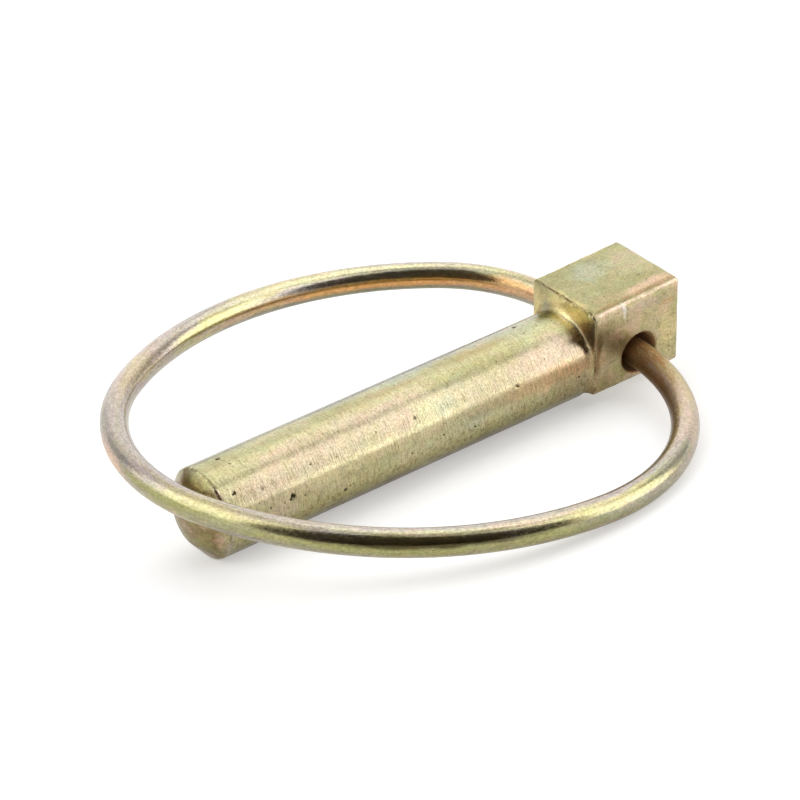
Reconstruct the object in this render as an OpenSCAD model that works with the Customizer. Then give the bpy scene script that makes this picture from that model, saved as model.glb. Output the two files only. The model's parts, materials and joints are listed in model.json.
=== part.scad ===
// Lynch pin: a forged steel pin with a square head, and a sprung wire ring that
// swings in a hole through the head and snaps over the free end of the pin.
// Millimetres. The origin is on the axis of the shank, at the shoulder of the
// head. +X runs to the free end, and +Z is up. The pin lies rolled on its side,
// with the shank and the near side of the ring both on the ground.

/* [Shank] */
// Diameter of the round shank
shank_d = 10; // [8:0.5:12]
// Length of the shank at full diameter, from the shoulder to the bevel
shank_len = 47.3; // [38:0.1:57]
// Length of the bevel at the free end
bevel_len = 1.6; // [0.8:0.1:2.4]
// Diameter at the small end of the bevel
bevel_end_d = 6; // [4.6:0.2:7]
// Height of the rounded end beyond the bevel
dome_h = 0.5; // [0.3:0.1:0.8]
// Radius of the fillet where the shank meets the shoulder
root_fillet = 0.8; // [0.4:0.1:1.2]

/* [Head] */
// Length of the head along the pin
head_len = 12.1; // [9.5:0.1:15]
// Width of the head
head_w = 10.3; // [8.6:0.1:12.5]
// Height of the head at the shoulder
head_h = 10; // [8.4:0.1:12]
// Depth of the head's underside below the axis of the shank
head_drop = 2.95; // [2.8:0.05:4]
// Sideways offset of the head from the axis of the shank
head_shift = 0.2; // [-0.5:0.1:0.5]
// Rise of the top of the head towards its back end, in degrees
head_rise = 1.8; // [0:0.1:4]
// Radius along the near top edge, worn round
near_edge_r = 1.3; // [0.3:0.1:2]
// Radius along the other long edges
long_edge_r = 0.5; // [0.2:0.1:1.5]
// Radius of the edges round the back end
back_edge_r = 0.9; // [0.2:0.1:1.5]

/* [Cross hole] */
// Distance of the cross hole behind the shoulder
hole_back = 6.1; // [4.5:0.1:8]
// Height of the cross hole above the axis of the shank
hole_up = 0.15; // [-0.2:0.05:1]
// Play of the wire in the cross hole, on the diameter
hole_play = 1.6; // [0.6:0.1:2]

/* [Ring] */
// Diameter of the spring wire
wire_d = 3; // [2.4:0.1:3.6]
// How far the wire lies below the centre of the cross hole
wire_sag = 0.1; // [0:0.05:0.25]
// Length of straight wire between the axis of the shank and the far bend
straight_far = 7.4; // [6:0.1:9]
// Radius of the bend between the head and the near side
near_bend_r = 22.4; // [20:0.1:25]
// Radius of the two long sides
side_r = 36.7; // [32:0.1:42]
// Radius of the bend between the far side and the head
far_bend_r = 16.1; // [14:0.1:18]
// Turn of the bend between the head and the near side, in degrees
near_bend_turn = 92; // [88:0.5:96]
// Turn of the near side, in degrees
near_side_turn = 65; // [62:0.5:68]
// Turn of the end that crosses the tip of the pin, in degrees
end_turn = 78.5; // [75:0.5:82]
// Turn of the far side, in degrees
far_side_turn = 68.5; // [66:0.5:72]
// How far the ring has to stretch to snap over the tip
snap = 0.36; // [0.1:0.02:0.8]
// Gap between the two ends of the wire, inside the head
split_gap = 0.8; // [0.4:0.1:1.5]
// Gap between the wire and the tip of the pin where the ring rests on it
rest_gap = 0.3; // [0.1:0.05:0.5]

/* [Hidden] */
$fn = 96;

// Pin
shank_r = shank_d / 2;
bevel_end_r = bevel_end_d / 2;
bevel_end = shank_len + bevel_len;
pin_end = bevel_end + dome_h;
dome_r = (bevel_end_r ^ 2 + dome_h ^ 2) / (2 * dome_h);
near_face = head_shift + head_w / 2;
far_face = head_shift - head_w / 2;
head_top = head_h - head_drop;
hole_d = wire_d + hole_play;
// The heel is the slope below the head where the round of the shank runs out.
// It reaches this far below the shank, and this far up into the head. It is a
// hair slimmer than the shank and draws in backwards, so the wall of the shank
// itself starts just off the shoulder
heel_lead = 0.3;
heel_root = 1;
heel_len = shank_r + heel_lead - head_drop;
heel_r = shank_r - 0.1;
heel_draft = 0.2;
heel_taper = 0.4;
// More than the head in every direction, for what is then cut to its outline
stock = 2 * max(head_len, head_w, head_h);

// Ring: five arcs in one plane, between the two ends of a straight that lies
// in the cross hole. In that plane, points are [p, q]: p is the distance from
// the axis of the hole, and q runs along it to the near side. A heading is the
// wire's direction of travel, in degrees, from +q towards +p. The sizes above
// give the ring's shape, and ring_scale, close to 1, then fits it to the pin.
wire_r = wire_d / 2;
join_swell = 0.01;
turns = [near_bend_turn, near_side_turn, end_turn, far_side_turn,
    360 - near_bend_turn - near_side_turn - end_turn - far_side_turn];
headings = [for (i = [0:5]) total(turns, i)];
end_r = -(near_bend_r * unit_step(0) + side_r * (unit_step(1) + unit_step(3))
    + far_bend_r * unit_step(4))[0] / unit_step(2)[0];
radii = [near_bend_r, side_r, end_r, side_r, far_bend_r];
straight_near = -steps(5)[1] - straight_far;
centre_line = [for (i = [0:4], part = [0:0.02:1]) arc_point(i, part)];
hinge = [-hole_back, 0, hole_up - wire_sag];

// How large the ring is, how it rests on the tip, and how the pin then lies on
// the ground: three searches, each between limits far wider than its result
smallest = 0.5;
largest = 2;
steepest = 30;
ring_scale = solve(function (scale) tip_gap(scale, 0) + snap, smallest, largest);
ring_tilt = solve(function (tilt) tip_gap(ring_scale, tilt) - rest_gap, 0, steepest);
roll = solve(function (angle) -shank_r - lowest_wire(angle), 0, steepest);

// The sum of the first n values of a list
function total(values, n) = n == 0 ? 0 : values[n - 1] + total(values, n - 1);

// The value between low and high at which f, which rises, reaches zero
function solve(f, low, high, rounds = 40) = let (middle = (low + high) / 2)
    rounds == 0 ? middle
    : f(middle) > 0 ? solve(f, low, middle, rounds - 1)
    : solve(f, middle, high, rounds - 1);

// The step [p, q] that arc i makes at radius 1
function unit_step(i) = [cos(headings[i]) - cos(headings[i + 1]),
    sin(headings[i + 1]) - sin(headings[i])];

// The step that the first n arcs make together
function steps(n) = n == 0 ? [0, 0] : radii[n - 1] * unit_step(n - 1) + steps(n - 1);

function arc_centre(i) = [0, straight_near] + steps(i)
    + radii[i] * [cos(headings[i]), -sin(headings[i])];

function arc_point(i, part) = let (heading = headings[i] + part * turns[i])
    arc_centre(i) + radii[i] * [-cos(heading), sin(heading)];

// Where a point of the ring is, with the ring swung up by this angle
function swung(point, tilt) = hinge + [point[0] * cos(tilt), point[1], point[0] * sin(tilt)];

// The gap between the wire and the tip, at this scale and angle of the ring
function tip_gap(scale, tilt) = min([for (point = centre_line)
    let (at = swung(scale * point, tilt),
        out = norm([at[1], at[2]]),
        from_dome = norm([at[0] - (pin_end - dome_r), out]),
        to_edge = norm([at[0] - bevel_end, out - bevel_end_r]),
        to_shank = norm([at[0] - shank_len, out - shank_r]),
        over_dome = out * dome_r < bevel_end_r * from_dome)
    min(to_edge, to_shank, over_dome ? from_dome - dome_r : to_edge)]) - wire_r;

// The level of the lowest wire, with the whole pin rolled by this angle
function lowest_wire(angle) = min([for (point = centre_line)
    let (at = swung(ring_scale * point, ring_tilt)) at[2] * cos(angle) - at[1] * sin(angle)]) - wire_r;

// A flat cut that rounds a corner at the origin, whose faces run to +X and +Y
module corner_cut(r) {
    difference() {
        translate([-r, -r]) square(2 * r);
        translate([r, r]) circle(r);
        translate([r, -2 * r]) square([2 * r, 5 * r]);
        translate([-2 * r, r]) square([5 * r, 2 * r]);
    }
}

// A prism along the pin, from -stock to stock, of a flat shape seen from its end
module along_pin() {
    rotate([90, 0, 90]) linear_extrude(2 * stock, center = true) children();
}

// The head seen from its end, Y across and Z up, with a radius at each corner
module end_view(top, bottom, top_near_r, top_far_r, bottom_r) {
    difference() {
        translate([far_face, bottom]) square([head_w, top - bottom]);
        translate([near_face, top]) rotate(180) corner_cut(top_near_r);
        translate([far_face, top]) rotate(-90) corner_cut(top_far_r);
        translate([near_face, bottom]) rotate(90) corner_cut(bottom_r);
        translate([far_face, bottom]) corner_cut(bottom_r);
    }
}

module head_side_view() {
    back_top = head_top + head_len * tan(head_rise);
    difference() {
        polygon([[0, -head_drop], [0, head_top], [-head_len, back_top], [-head_len, -head_drop]]);
        translate([-head_len, back_top]) rotate(-90) corner_cut(back_edge_r);
        translate([-head_len, -head_drop]) corner_cut(back_edge_r);
    }
}

module head_plan() {
    difference() {
        translate([-head_len, far_face]) square([head_len, head_w]);
        translate([-head_len, near_face]) rotate(-90) corner_cut(back_edge_r);
        translate([-head_len, far_face]) corner_cut(back_edge_r);
    }
}

module head() {
    intersection() {
        // Top edges, which rise with the top face
        translate([0, 0, head_top]) rotate([0, head_rise, 0])
            along_pin() end_view(0, -stock, near_edge_r, long_edge_r, long_edge_r);
        // Bottom edges
        along_pin() end_view(stock, -head_drop, long_edge_r, long_edge_r, long_edge_r);
        rotate([90, 0, 0]) linear_extrude(2 * stock, center = true) head_side_view();
        linear_extrude(2 * stock, center = true) head_plan();
    }
}

// A solid of revolution about the axis of the shank
module about_axis() {
    rotate([0, 90, 0]) rotate_extrude() children();
}

module shank() {
    about_axis() {
        polygon([[0, 0], [heel_r, 0], [shank_r, heel_taper], [shank_r, shank_len],
            [bevel_end_r, bevel_end], [0, bevel_end]]);
        intersection() {
            translate([0, pin_end - dome_r]) circle(dome_r);
            translate([0, bevel_end - dome_h]) square([bevel_end_r, 2 * dome_h]);
        }
    }
}

// The fillet ring, only where there is head behind it
module root() {
    intersection() {
        about_axis() difference() {
            translate([shank_r - root_fillet, 0]) square([2 * root_fillet, root_fillet]);
            translate([shank_r + root_fillet, root_fillet]) circle(root_fillet);
        }
        along_pin() end_view(head_top, -head_drop, near_edge_r, long_edge_r, long_edge_r);
    }
}

module heel() {
    intersection() {
        translate([-heel_len, 0, 0]) rotate([0, 90, 0])
            cylinder(r1 = heel_r - heel_draft, r2 = heel_r, h = heel_len);
        rotate([90, 0, 0]) linear_extrude(shank_d, center = true)
            polygon([[0, heel_root - head_drop], [0, -shank_r - heel_lead],
                [-heel_len, -head_drop], [-heel_len, heel_root - head_drop]]);
    }
}

module pin() {
    color([0.72, 0.70, 0.50]) rotate([-roll, 0, 0]) difference() {
        union() {
            head();
            shank();
            root();
            heel();
        }
        translate([-hole_back, 0, hole_up]) rotate([90, 0, 0])
            cylinder(d = hole_d, h = 2 * stock, center = true);
    }
}

module wire_arc(i) {
    translate(ring_scale * arc_centre(i)) rotate(180 - headings[i + 1])
        rotate_extrude(angle = turns[i]) translate([ring_scale * radii[i], 0]) circle(wire_r);
}

// A ball inside each join of the wire, a hair larger than it, makes one solid
module wire_join(at) {
    translate(ring_scale * at) sphere(wire_r + join_swell);
}

module wire_straight(from, to) {
    translate([0, from, 0]) rotate([-90, 0, 0]) cylinder(r = wire_r, h = to - from);
}

module ring() {
    color([0.80, 0.74, 0.55]) rotate([-roll, 0, 0]) translate(hinge) rotate([0, -ring_tilt, 0]) {
        wire_straight(split_gap / 2, ring_scale * straight_near);
        for (i = [0:4]) {
            wire_join(arc_point(i, 0));
            wire_arc(i);
        }
        wire_join([0, -straight_far]);
        wire_straight(-ring_scale * straight_far, -split_gap / 2);
    }
}

pin();
ring();
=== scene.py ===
# %% [markdown]
# # A lynch pin, finished in yellow zinc
# A lynch pin holds a tractor implement on its stud. The real one is two pieces of
# steel: a forged pin with a square head, and a sprung wire ring whose two ends meet
# inside a cross hole in that head. This lesson starts from the measured model, so
# Blender is used only for surfaces, colours and light.

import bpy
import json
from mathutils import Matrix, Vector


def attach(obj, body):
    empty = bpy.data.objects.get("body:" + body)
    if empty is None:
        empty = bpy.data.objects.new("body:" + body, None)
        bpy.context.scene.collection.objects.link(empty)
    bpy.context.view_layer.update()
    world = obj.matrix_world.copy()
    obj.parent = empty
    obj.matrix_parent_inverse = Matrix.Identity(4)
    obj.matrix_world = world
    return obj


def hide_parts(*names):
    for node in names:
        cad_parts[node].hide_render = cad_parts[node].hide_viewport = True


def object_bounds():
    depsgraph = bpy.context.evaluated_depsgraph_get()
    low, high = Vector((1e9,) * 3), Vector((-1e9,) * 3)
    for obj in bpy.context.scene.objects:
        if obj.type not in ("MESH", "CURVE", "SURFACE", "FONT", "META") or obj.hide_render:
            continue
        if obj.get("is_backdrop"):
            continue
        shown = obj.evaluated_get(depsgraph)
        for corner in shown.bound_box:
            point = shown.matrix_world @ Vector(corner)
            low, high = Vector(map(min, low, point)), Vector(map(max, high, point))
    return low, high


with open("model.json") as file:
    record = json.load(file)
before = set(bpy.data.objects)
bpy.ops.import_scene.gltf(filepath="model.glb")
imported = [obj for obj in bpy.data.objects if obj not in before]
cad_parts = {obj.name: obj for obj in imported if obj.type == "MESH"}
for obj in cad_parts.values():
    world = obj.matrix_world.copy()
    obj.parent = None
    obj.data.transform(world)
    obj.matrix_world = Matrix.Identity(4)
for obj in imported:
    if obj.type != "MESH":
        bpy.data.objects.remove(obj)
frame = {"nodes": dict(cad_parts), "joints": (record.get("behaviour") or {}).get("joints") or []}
cad_low, cad_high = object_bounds()

# %% Bring in the modelling tools
import json
import math

import bpy
import bmesh
import numpy as np
from mathutils import Matrix, Vector, noise

MM = 0.001
print("box in mm", [round(v / MM, 2) for v in (*cad_low, *cad_high)])

# %% [markdown]
# ## The pin's own frame
# The part lies on its shank and on one side of its ring, so it has rolled a little.
# It could be modelled rolled, but then no flat of the head would be square to an axis.
# It is easier to work upright, with the shank along X and the cross hole along Y, and
# to lay each finished piece down in one turn. The joint's axis tells how far it rolled.

# %% Find how far the pin has rolled
swing_axis = frame["joints"][0]["axis"]
roll = math.atan2(swing_axis[2], -swing_axis[1])
lay_down = Matrix.Rotation(-roll, 4, "X")
print("rolled by", round(math.degrees(roll), 2), "degrees")

# %% [markdown]
# ## The forged pin
# The real pin is one forging, so its head runs into its shank without a seam. Separate
# meshes for the two would leave a hard line at the root. Boolean cuts would give long
# thin faces that can't hold a dent. Here the measured solid is covered with a skin of
# small even squares by a voxel remesh, and the skin is pulled back onto the solid, so
# it is exact and every part of it can be worked like clay.


# %% A copy of a measured node, stood upright and in millimetres
def upright_copy(node, name):
    piece = bpy.data.objects.new(name, frame["nodes"][node].data.copy())
    piece.data.transform(Matrix.Rotation(roll, 4, "X") @ Matrix.Scale(1 / MM, 4))
    welded = bmesh.new()
    welded.from_mesh(piece.data)
    bmesh.ops.remove_doubles(welded, verts=welded.verts, dist=0.001)
    welded.to_mesh(piece.data)
    welded.free()
    bpy.context.scene.collection.objects.link(piece)
    return piece


solid = upright_copy("pin", "solid")
skin = upright_copy("pin", "skin")
print("measured pin of", len(solid.data.polygons), "faces")

# %% Cover the solid with a skin of small squares
SKIN_SQUARE = 0.17

remesh = skin.modifiers.new("even squares", "REMESH")
remesh.mode = "VOXEL"
remesh.voxel_size = SKIN_SQUARE
pull = skin.modifiers.new("back onto the solid", "SHRINKWRAP")
pull.target = solid
shown = skin.evaluated_get(bpy.context.evaluated_depsgraph_get()).to_mesh()
print("skin of", len(shown.polygons), "squares")

# %% Read the skin's points, faces and edges, and clear the working copies away
pin_points = np.empty(len(shown.vertices) * 3)
shown.vertices.foreach_get("co", pin_points)
pin_points = pin_points.reshape(-1, 3)
pin_faces = [tuple(face.vertices) for face in shown.polygons]
pin_edges = np.empty(len(shown.edges) * 2, int)
shown.edges.foreach_get("vertices", pin_edges)
pin_edges = pin_edges.reshape(-1, 2)
for piece in (skin, solid):
    bpy.data.objects.remove(piece)
as_forged = pin_points.copy()
print(len(pin_points), "points and", len(pin_edges), "edges")

# %% [markdown]
# ## Worn corners
# A forged and tumbled pin has no perfect edge: its corners are worn more in some places
# than in others. A bevel would blunt them all alike, and sculpting by hand would differ
# each time. So each point is moved a little towards the middle of its neighbours, which
# changes flats not at all and corners a lot, and soft noise says where it is strongest.


# %% Soft noise, and a step with soft ends
def soft_noise(points, scale, seed=0.0):
    """A soft height for each point, between about -1 and 1."""
    shift = Vector((seed, 2.3 * seed, 5.1 * seed))
    return np.array([noise.noise(Vector(point) * scale + shift) for point in points])


def smooth_step(value):
    """Goes from 0 to 1 as value does, and arrives gently."""
    value = np.clip(value, 0, 1)
    return value * value * (3 - 2 * value)


patchy = 0.5 + 0.5 * soft_noise(pin_points, 0.9)
print("patchiness from", round(float(patchy.min()), 2), "to", round(float(patchy.max()), 2))


# %% Rub the corners down
def rub(points, edges, rounds, strength):
    """Moves each point towards the middle of its neighbours, which only blunts corners."""
    first, second = edges.T
    count = np.bincount(edges.ravel(), minlength=len(points))[:, None]
    for _ in range(rounds):
        total = np.zeros_like(points)
        np.add.at(total, first, points[second])
        np.add.at(total, second, points[first])
        points = points + strength[:, None] * (total / count - points)
    return points


pin_points = rub(pin_points, pin_edges, 3, 0.1 + 0.3 * smooth_step(patchy))
moved = np.linalg.norm(pin_points - as_forged, axis=1)
print("corners rubbed by up to", round(float(moved.max()), 3), "mm")

# %% [markdown]
# ## The waves of the die
# The head keeps the faint waves of its forging die, and the turned shank sways a little
# along its length. A bump texture would leave the outline straight. The points are
# moved along the skin's own direction instead, so that reflections bend as in metal.


# %% Find which way is out of the metal
def outward(points, faces):
    """The direction that points away from the metal, at each point of the skin."""
    squares = np.array([face[:4] if len(face) > 3 else (*face, face[2]) for face in faces])
    corner = points[squares]
    across = np.cross(corner[:, 2] - corner[:, 0], corner[:, 3] - corner[:, 1])
    total = np.zeros_like(points)
    for side in range(4):
        np.add.at(total, squares[:, side], across)
    return total / np.linalg.norm(total, axis=1, keepdims=True)


pin_normals = outward(pin_points, pin_faces)
along, height = pin_points[:, 0], pin_points[:, 2]
print("positive if outward:", round(float((pin_normals * pin_points)[:, 1].mean()), 3))

# %% Give the head its waves, and the shank its sway
# The head blends into the shank over this many mm either side of the shoulder.
HEAD_BLEND = 0.4

# Each layer of noise has a height in mm, then its waves in a mm, and a seed.
on_head = smooth_step((HEAD_BLEND - along) / (2 * HEAD_BLEND))
waves = 0.035 * soft_noise(pin_points, 0.55, 3.0) + 0.014 * soft_noise(pin_points, 1.9, 7.0)
stretched = pin_points * np.array([0.12, 0.5, 0.5])
sway = 0.012 * soft_noise(stretched, 1.0, 11.0) + 0.004 * soft_noise(pin_points, 1.1, 13.0)
pin_points = pin_points + pin_normals * (on_head * waves + (1 - on_head) * sway)[:, None]
print("waves up to", round(float(waves.max()), 3), "mm")

# %% [markdown]
# ## Chips, pits and dents
# The shoulder's top edge is chipped where the pin has knocked against others, and the
# shank is pitted. Small craters could be drawn as bump, but the deep ones have to break
# the highlight, so they are pressed into the mesh. The few that the eye finds first have
# a place of their own, and the rest are scattered with a fixed seed.

# %% Chip the top edge of the shoulder
HEAD_TOP = 7.05
CHIP_DEPTH, CHIP_REACH = 0.38, 0.7

across_head = pin_points * np.array([0, 1, 0])
chips = np.clip(soft_noise(across_head, 1.7, 17.0), 0, 1)
chips += 0.5 * np.clip(soft_noise(across_head, 4.1, 19.0), 0, 1)
edge_away = np.hypot(along, height - HEAD_TOP)
chipped = CHIP_DEPTH * chips * (1 - smooth_step(edge_away / CHIP_REACH))
pin_points[:, 0] -= chipped
pin_points[:, 2] -= 0.5 * chipped
print("chips up to", round(float(chipped.max()), 2), "mm")

# %% Name places on the shank, and list the deep pits
SHANK_R = 5


def on_shank(distance, turned):
    """A point on the shank, this far from the shoulder, turned from the near side up."""
    angle = math.radians(turned)
    return (distance, SHANK_R * math.cos(angle), SHANK_R * math.sin(angle))


DEEP_PITS = [
    (on_shank(39.4, 15), 0.36, 0.26), (on_shank(39.7, 11.5), 0.24, 0.16),
    (on_shank(5.6, 107), 0.32, 0.16), (on_shank(44.4, 102), 0.34, 0.18),
    (on_shank(44.2, 93), 0.16, 0.08), (on_shank(44.0, 84), 0.14, 0.06),
    (on_shank(45.7, 46), 0.22, 0.14), (on_shank(10.0, 25), 0.22, 0.10),
    (on_shank(1.9, 2), 0.20, 0.10), (on_shank(16.1, -2), 0.20, 0.10),
    (on_shank(20.2, 6), 0.19, 0.10), (on_shank(24.4, 1), 0.18, 0.10),
    (on_shank(33.0, -9), 0.28, 0.10), (on_shank(32.4, -6), 0.18, 0.08),
    (on_shank(36.5, 41), 0.15, 0.06), (on_shank(42.2, 12), 0.16, 0.10),
]
print(len(DEEP_PITS), "deep pits, each with its place, radius and depth")

# %% Scatter the shallow pits
SHALLOW_PITS = 110

pits = list(DEEP_PITS)
chance = np.random.default_rng(4)
for _ in range(SHALLOW_PITS):
    place = on_shank(chance.uniform(1.5, 46.5), chance.uniform(0, 360))
    pits.append((place, chance.uniform(0.16, 0.3), chance.uniform(0.015, 0.05)))
print(len(pits), "pits in all")


# %% Press the pits
def press(points, normals, centre, radius, depth, flat=0.3):
    """Sinks a round pit of this radius and depth, with a level floor and soft walls."""
    away = np.linalg.norm(points - np.asarray(centre), axis=1) / radius
    sink = depth * (1 - smooth_step((away - flat) / (1 - flat)))
    return points - normals * sink[:, None]


unpitted = pin_points
pin_normals = outward(pin_points, pin_faces)
for place, radius, depth in pits:
    pin_points = press(pin_points, pin_normals, place, radius, depth)
sunk = np.linalg.norm(pin_points - unpitted, axis=1)
print("deepest pit", round(float(sunk.max()), 2), "mm")

# %% Nick the edge of the bevel at the tip
BEVEL_START = 47.3

pin_normals = outward(pin_points, pin_faces)
for turned in (49, 54):
    nick = on_shank(BEVEL_START, turned)
    pin_points = press(pin_points, pin_normals, nick, 0.2, 0.02)
    print("nick at", [round(value, 1) for value in nick])

# %% [markdown]
# ## The root
# Where the shank runs into the head, the metal curves in a fillet. On the near side the
# die closed hardest and left it tighter. A second fillet could be cut as a solid, but
# the change from one to the other has to be gradual, so the skin is squeezed: a point's
# distance from the shoulder and from the shank both shrink, most near the corner.

# %% Measure where the near part of the root is
ROOT_R, TIGHT_R = 0.8, 0.35
ROOT_REACH = 2 * ROOT_R
TIGHT_FROM, TIGHT_TO = 30, 88

turned_by = np.degrees(np.arctan2(pin_points[:, 2], pin_points[:, 1]))
share = smooth_step((turned_by - TIGHT_FROM) / 10) * smooth_step((TIGHT_TO - turned_by) / 34)
from_axis = np.linalg.norm(pin_points[:, 1:], axis=1)
near_root = (pin_points[:, 0] > 0) & (pin_points[:, 0] < ROOT_REACH)
near_root &= (from_axis > SHANK_R) & (from_axis < SHANK_R + ROOT_REACH)
share = np.where(near_root, share, 0)
print(int((share > 0).sum()), "points in the tight part of the root")


# %% Squeeze it
def squeezed(away):
    """A distance from the corner, after the fillet goes from its full to its tight size."""
    return np.interp(away, [0, ROOT_R, ROOT_REACH], [0, TIGHT_R, ROOT_REACH])


shank_distance = SHANK_R + squeezed(from_axis - SHANK_R)
pin_points[:, 0] += share * (squeezed(pin_points[:, 0]) - pin_points[:, 0])
pin_points[:, 1:] *= (1 + share * (shank_distance / from_axis - 1))[:, None]
print("root tightened from", ROOT_R, "to", TIGHT_R, "mm")

# %% [markdown]
# ## The mouth of the cross hole
# The drill leaves a sharp mouth, and the sprung wire rubs it away on the side that it
# pulls on. A bevel modifier would need that edge to be a clean loop, which a voxel skin
# doesn't have. So the points near the edge are moved back to a sloping line, which
# is deepest where the wire pulls.

# %% Find each point's place round the hole
HOLE_BACK, HOLE_UP, HOLE_R = -6.1, 0.15, 2.3
NEAR_FACE = 5.35

from_hole = np.stack([pin_points[:, 0] - HOLE_BACK, pin_points[:, 2] - HOLE_UP], 1)
hole_away = np.linalg.norm(from_hole, axis=1)
bearing = np.arctan2(from_hole[:, 1], from_hole[:, 0])
depth_in = NEAR_FACE - pin_points[:, 1]
print("hole drilled", round(float(hole_away[np.abs(depth_in - 3) < 1].min()), 2), "mm in radius")

# %% Break the mouth, most where the ring pulls on it
PULLED = math.radians(145)
CHAMFER, MORE_WHERE_PULLED = 0.08, 0.3

chamfer = CHAMFER + MORE_WHERE_PULLED * np.clip(np.cos(bearing - PULLED), 0, 1) ** 2
cut = np.clip(chamfer - (hole_away - HOLE_R) - depth_in, 0, None) / 2
cut[(hole_away < HOLE_R - 0.2) | (depth_in < -0.2) | (depth_in > 1)] = 0
pin_points[:, [0, 2]] += from_hole / hole_away[:, None] * cut[:, None]
pin_points[:, 1] -= cut
pin_points = rub(pin_points, pin_edges, 2, np.where(cut > 0, 0.5, 0.0))
print("mouth broken by up to", round(float(cut.max() * 2), 2), "mm")

# %% [markdown]
# ## Remembering, and laying the pin down
# The finish will need to know two things about each place: where it was on the clean
# forging, and how sharp it is, because plating wears thin on sharp edges and dirt stays
# in hollows. A pointiness node would find edges too, but not in every renderer. Both
# are measured here and kept in the mesh, where the finish can read them.

# %% Measure how sharp each place is
pin_normals = outward(pin_points, pin_faces)
blunted = rub(pin_points, pin_edges, 8, np.full(len(pin_points), 0.6))
sharpness = ((pin_points - blunted) * pin_normals).sum(1)
print("sharpness from", round(float(sharpness.min()), 3), "to", round(float(sharpness.max()), 3))


# %% Make the pin
def make_piece(name, points, faces, body, stands_for, remembered, places):
    """Lays a piece down from upright points; its mesh remembers one place for each."""
    mesh = bpy.data.meshes.new(name)
    mesh.from_pydata((np.asarray(points) * MM).tolist(), [], faces)
    mesh.transform(lay_down)
    mesh.shade_smooth()
    memory = mesh.attributes.new(remembered, "FLOAT_VECTOR", "POINT")
    memory.data.foreach_set("vector", np.asarray(places, np.float32).ravel())
    piece = bpy.data.objects.new(name, mesh)
    bpy.context.scene.collection.objects.link(piece)
    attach(piece, body)
    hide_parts(stands_for)
    print(name, len(mesh.vertices), "points,", len(mesh.polygons), "faces")
    return piece


pin = make_piece("forged_pin", pin_points, pin_faces, "pin_body", "pin",
                 "as_forged", as_forged)
worn = pin.data.attributes.new("sharpness", "FLOAT", "POINT")
worn.data.foreach_set("value", sharpness.astype(np.float32))

# %% [markdown]
# ## The wire ring
# The ring is a length of spring wire bent by rollers, in five arcs that run smoothly
# into each other, with its two cut ends inside the cross hole. A curve with a bevel
# would do for plain wire. A swept mesh is used instead, because its points can then
# remember where they were on the straight wire, and the drawing marks follow it round.

# %% The rollers' settings
# Each arc is a radius in mm and a turn in degrees, from the near end round to the far end.
ARCS = [(22.4, 92), (36.7, 65), (20.5507, 78.5), (36.7, 68.5), (16.1, 56)]
# The whole ring is shrunk by this much, so that it closes on the tip of the pin.
FIT = 0.999823
STRAIGHT_NEAR = 4.3504
SPLIT_GAP = 0.8

print("the arcs turn by", sum(turn for _, turn in ARCS), "degrees in all")


# %% The ring's route in its own flat plane
def ring_route(spacing):
    """Points (p, q) and headings: p is the way out from the hole's axis, q runs along it."""
    p, q, heading = 0.0, FIT * STRAIGHT_NEAR, 0.0
    route = [(0, start, 0) for start in np.arange(SPLIT_GAP / 2, q, spacing)]
    for radius, turn in ARCS:
        radius, turn = FIT * radius, math.radians(turn)
        count = round(radius * turn / spacing)
        for angle in np.linspace(heading, heading + turn, count, endpoint=False):
            route.append((
                p + radius * (math.cos(heading) - math.cos(angle)),
                q + radius * (math.sin(angle) - math.sin(heading)), angle))
        p += radius * (math.cos(heading) - math.cos(heading + turn))
        q += radius * (math.sin(heading + turn) - math.sin(heading))
        heading += turn
    route += [(0, end, heading) for end in np.arange(q, -SPLIT_GAP / 2, spacing)]
    return np.array(route + [(0, -SPLIT_GAP / 2, heading)])


route = ring_route(spacing=0.25)
print(len(route), "places along the wire, ends at q =", round(route[-1, 1], 3))

# %% Stand the route in space, at the hinge
HINGE = Vector((HOLE_BACK, 0, 0.05))
TILT = math.radians(3.62668)

p, q, heading = route.T
lean, rise = math.cos(TILT), math.sin(TILT)
centre = np.stack([p * lean, q, p * rise], 1) + np.array(HINGE)
inward = np.stack([np.cos(heading) * lean, -np.sin(heading), np.cos(heading) * rise], 1)
upward = np.array([-rise, 0, lean])
travelled = np.r_[0, np.cumsum(np.linalg.norm(np.diff(centre, axis=0), axis=1))]
print("wire length", round(float(travelled[-1]), 1), "mm")

# %% Sweep a round section along it
WIRE_R = 1.5
SIDES = 48

wire_points, wire_straight = [], []
for middle, inner, distance in zip(centre, inward, travelled):
    for angle in np.arange(SIDES) * 2 * math.pi / SIDES:
        turn = (math.cos(angle), math.sin(angle))
        wire_points.append(middle + WIRE_R * (turn[0] * inner + turn[1] * upward))
        wire_straight.append((WIRE_R * turn[0], WIRE_R * turn[1], distance))
wire_points, wire_straight = np.array(wire_points), np.array(wire_straight)
print(len(wire_points), "points round the wire")

# %% Join them into faces, with a flat face at each cut end
wire_faces = []
for row in range(len(centre) - 1):
    low, high = row * SIDES, (row + 1) * SIDES
    for side in range(SIDES):
        ahead = (side + 1) % SIDES
        wire_faces.append((low + side, low + ahead, high + ahead, high + side))
wire_faces.append(tuple(reversed(range(SIDES))))
wire_faces.append(tuple(range((len(centre) - 1) * SIDES, len(centre) * SIDES)))
print(len(wire_faces), "faces")

# %% Give the wire the slight unevenness that drawing leaves
unevenness = 0.012 * soft_noise(wire_straight * np.array([0.5, 0.5, 0.08]), 1.0, 23.0)
from_centre = wire_points - np.repeat(
    wire_points.reshape(-1, SIDES, 3).mean(1), SIDES, axis=0)
wire_points = wire_points + from_centre / WIRE_R * unevenness[:, None]
print("wire uneven by up to", round(float(np.abs(unevenness).max()), 3), "mm")

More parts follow.
